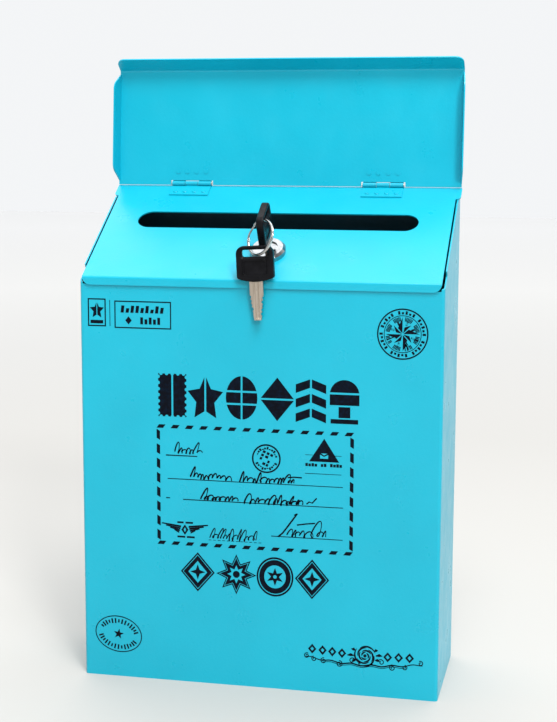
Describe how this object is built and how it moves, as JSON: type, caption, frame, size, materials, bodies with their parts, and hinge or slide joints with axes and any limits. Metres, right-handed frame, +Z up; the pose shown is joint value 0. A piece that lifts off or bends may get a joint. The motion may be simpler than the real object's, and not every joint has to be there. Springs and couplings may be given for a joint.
{
  "type": "wall letter box",
  "caption": "Painted sheet-steel wall letter box with a slanted, slotted locking door, a hinged rain lid, a cam lock and its two keys on a ring.",
  "frame": {"origin": "centre of the base, on the surface it stands on", "axes": "+Z up, +Y out of the back panel towards the wall, front at -Y"},
  "size_m": [0.2194, 0.0919, 0.3728],
  "materials": {
    "blue_paint": "satin gloss, fine orange peel",
    "zinc_steel": "zinc plated",
    "chrome": "bright plated",
    "nickel": "nickel plated",
    "brass": "stamped",
    "black_plastic": "moulded, satin gloss"
  },
  "bodies": {
    "box": {"front_wrap": "blue_paint", "back_panel": "blue_paint", "bottom_panel": "blue_paint", "back_rivets": "blue_paint", "door_hinge_left_body_leaf": "blue_paint", "door_hinge_left_pin": "zinc_steel", "door_hinge_right_body_leaf": "blue_paint", "door_hinge_right_pin": "zinc_steel"},
    "door": {"slot_door": "blue_paint", "band_rivets": "blue_paint", "lock_housing": "chrome", "lock_washer": "zinc_steel", "lock_nut": "zinc_steel", "door_hinge_left_door_leaf": "blue_paint", "door_hinge_right_door_leaf": "blue_paint", "lid_hinge_left_door_leaf": "blue_paint", "lid_hinge_right_door_leaf": "blue_paint"},
    "lid": {"outer_lid": "blue_paint", "lid_rivets": "blue_paint", "lid_hinge_left_lid_leaf": "blue_paint", "lid_hinge_left_pin": "zinc_steel", "lid_hinge_right_lid_leaf": "blue_paint", "lid_hinge_right_pin": "zinc_steel"},
    "lock_barrel": {"lock_plug": "chrome", "wafer_tumblers": "brass", "wafer_springs": "zinc_steel", "lock_cam": "zinc_steel", "cam_washer": "zinc_steel", "cam_screw": "zinc_steel", "key_1_blade": "nickel", "key_1_bow": "black_plastic"},
    "ring": {"key_ring": "nickel"},
    "spare_key": {"key_2_blade": "nickel", "key_2_bow": "black_plastic"}
  },
  "joints": [
    {"name": "door_hinge", "type": "hinge", "parent": "box", "child": "door", "pos_m": [0, 0.0377, 0.29081], "axis": [-1, 0, 0], "range_deg": [0, 75]},
    {"name": "lid_hinge", "type": "hinge", "parent": "door", "child": "lid", "pos_m": [0, 0.03869, 0.29594], "axis": [1, 0, 0], "range_deg": [0, 81.5]},
    {"name": "lock_turn", "type": "hinge", "parent": "door", "child": "lock_barrel", "pos_m": [0.0015, -0.0186, 0.25764], "axis": [0, 0.5376, -0.8432], "range_deg": [0, 90]},
    {"name": "ring_swing", "type": "hinge", "parent": "lock_barrel", "child": "ring", "pos_m": [0.0015, -0.0361, 0.27726], "axis": [-1, 0, 0], "range_deg": [0, 67.5]},
    {"name": "key_swing", "type": "hinge", "parent": "ring", "child": "spare_key", "pos_m": [0.0015, -0.04342, 0.25822], "axis": [-1, 0, 0], "range_deg": [0, 15]}
  ],
  "couplings": [
    {"joint": "ring_swing", "follows": "lock_turn", "ratio": 0.75}
  ]
}
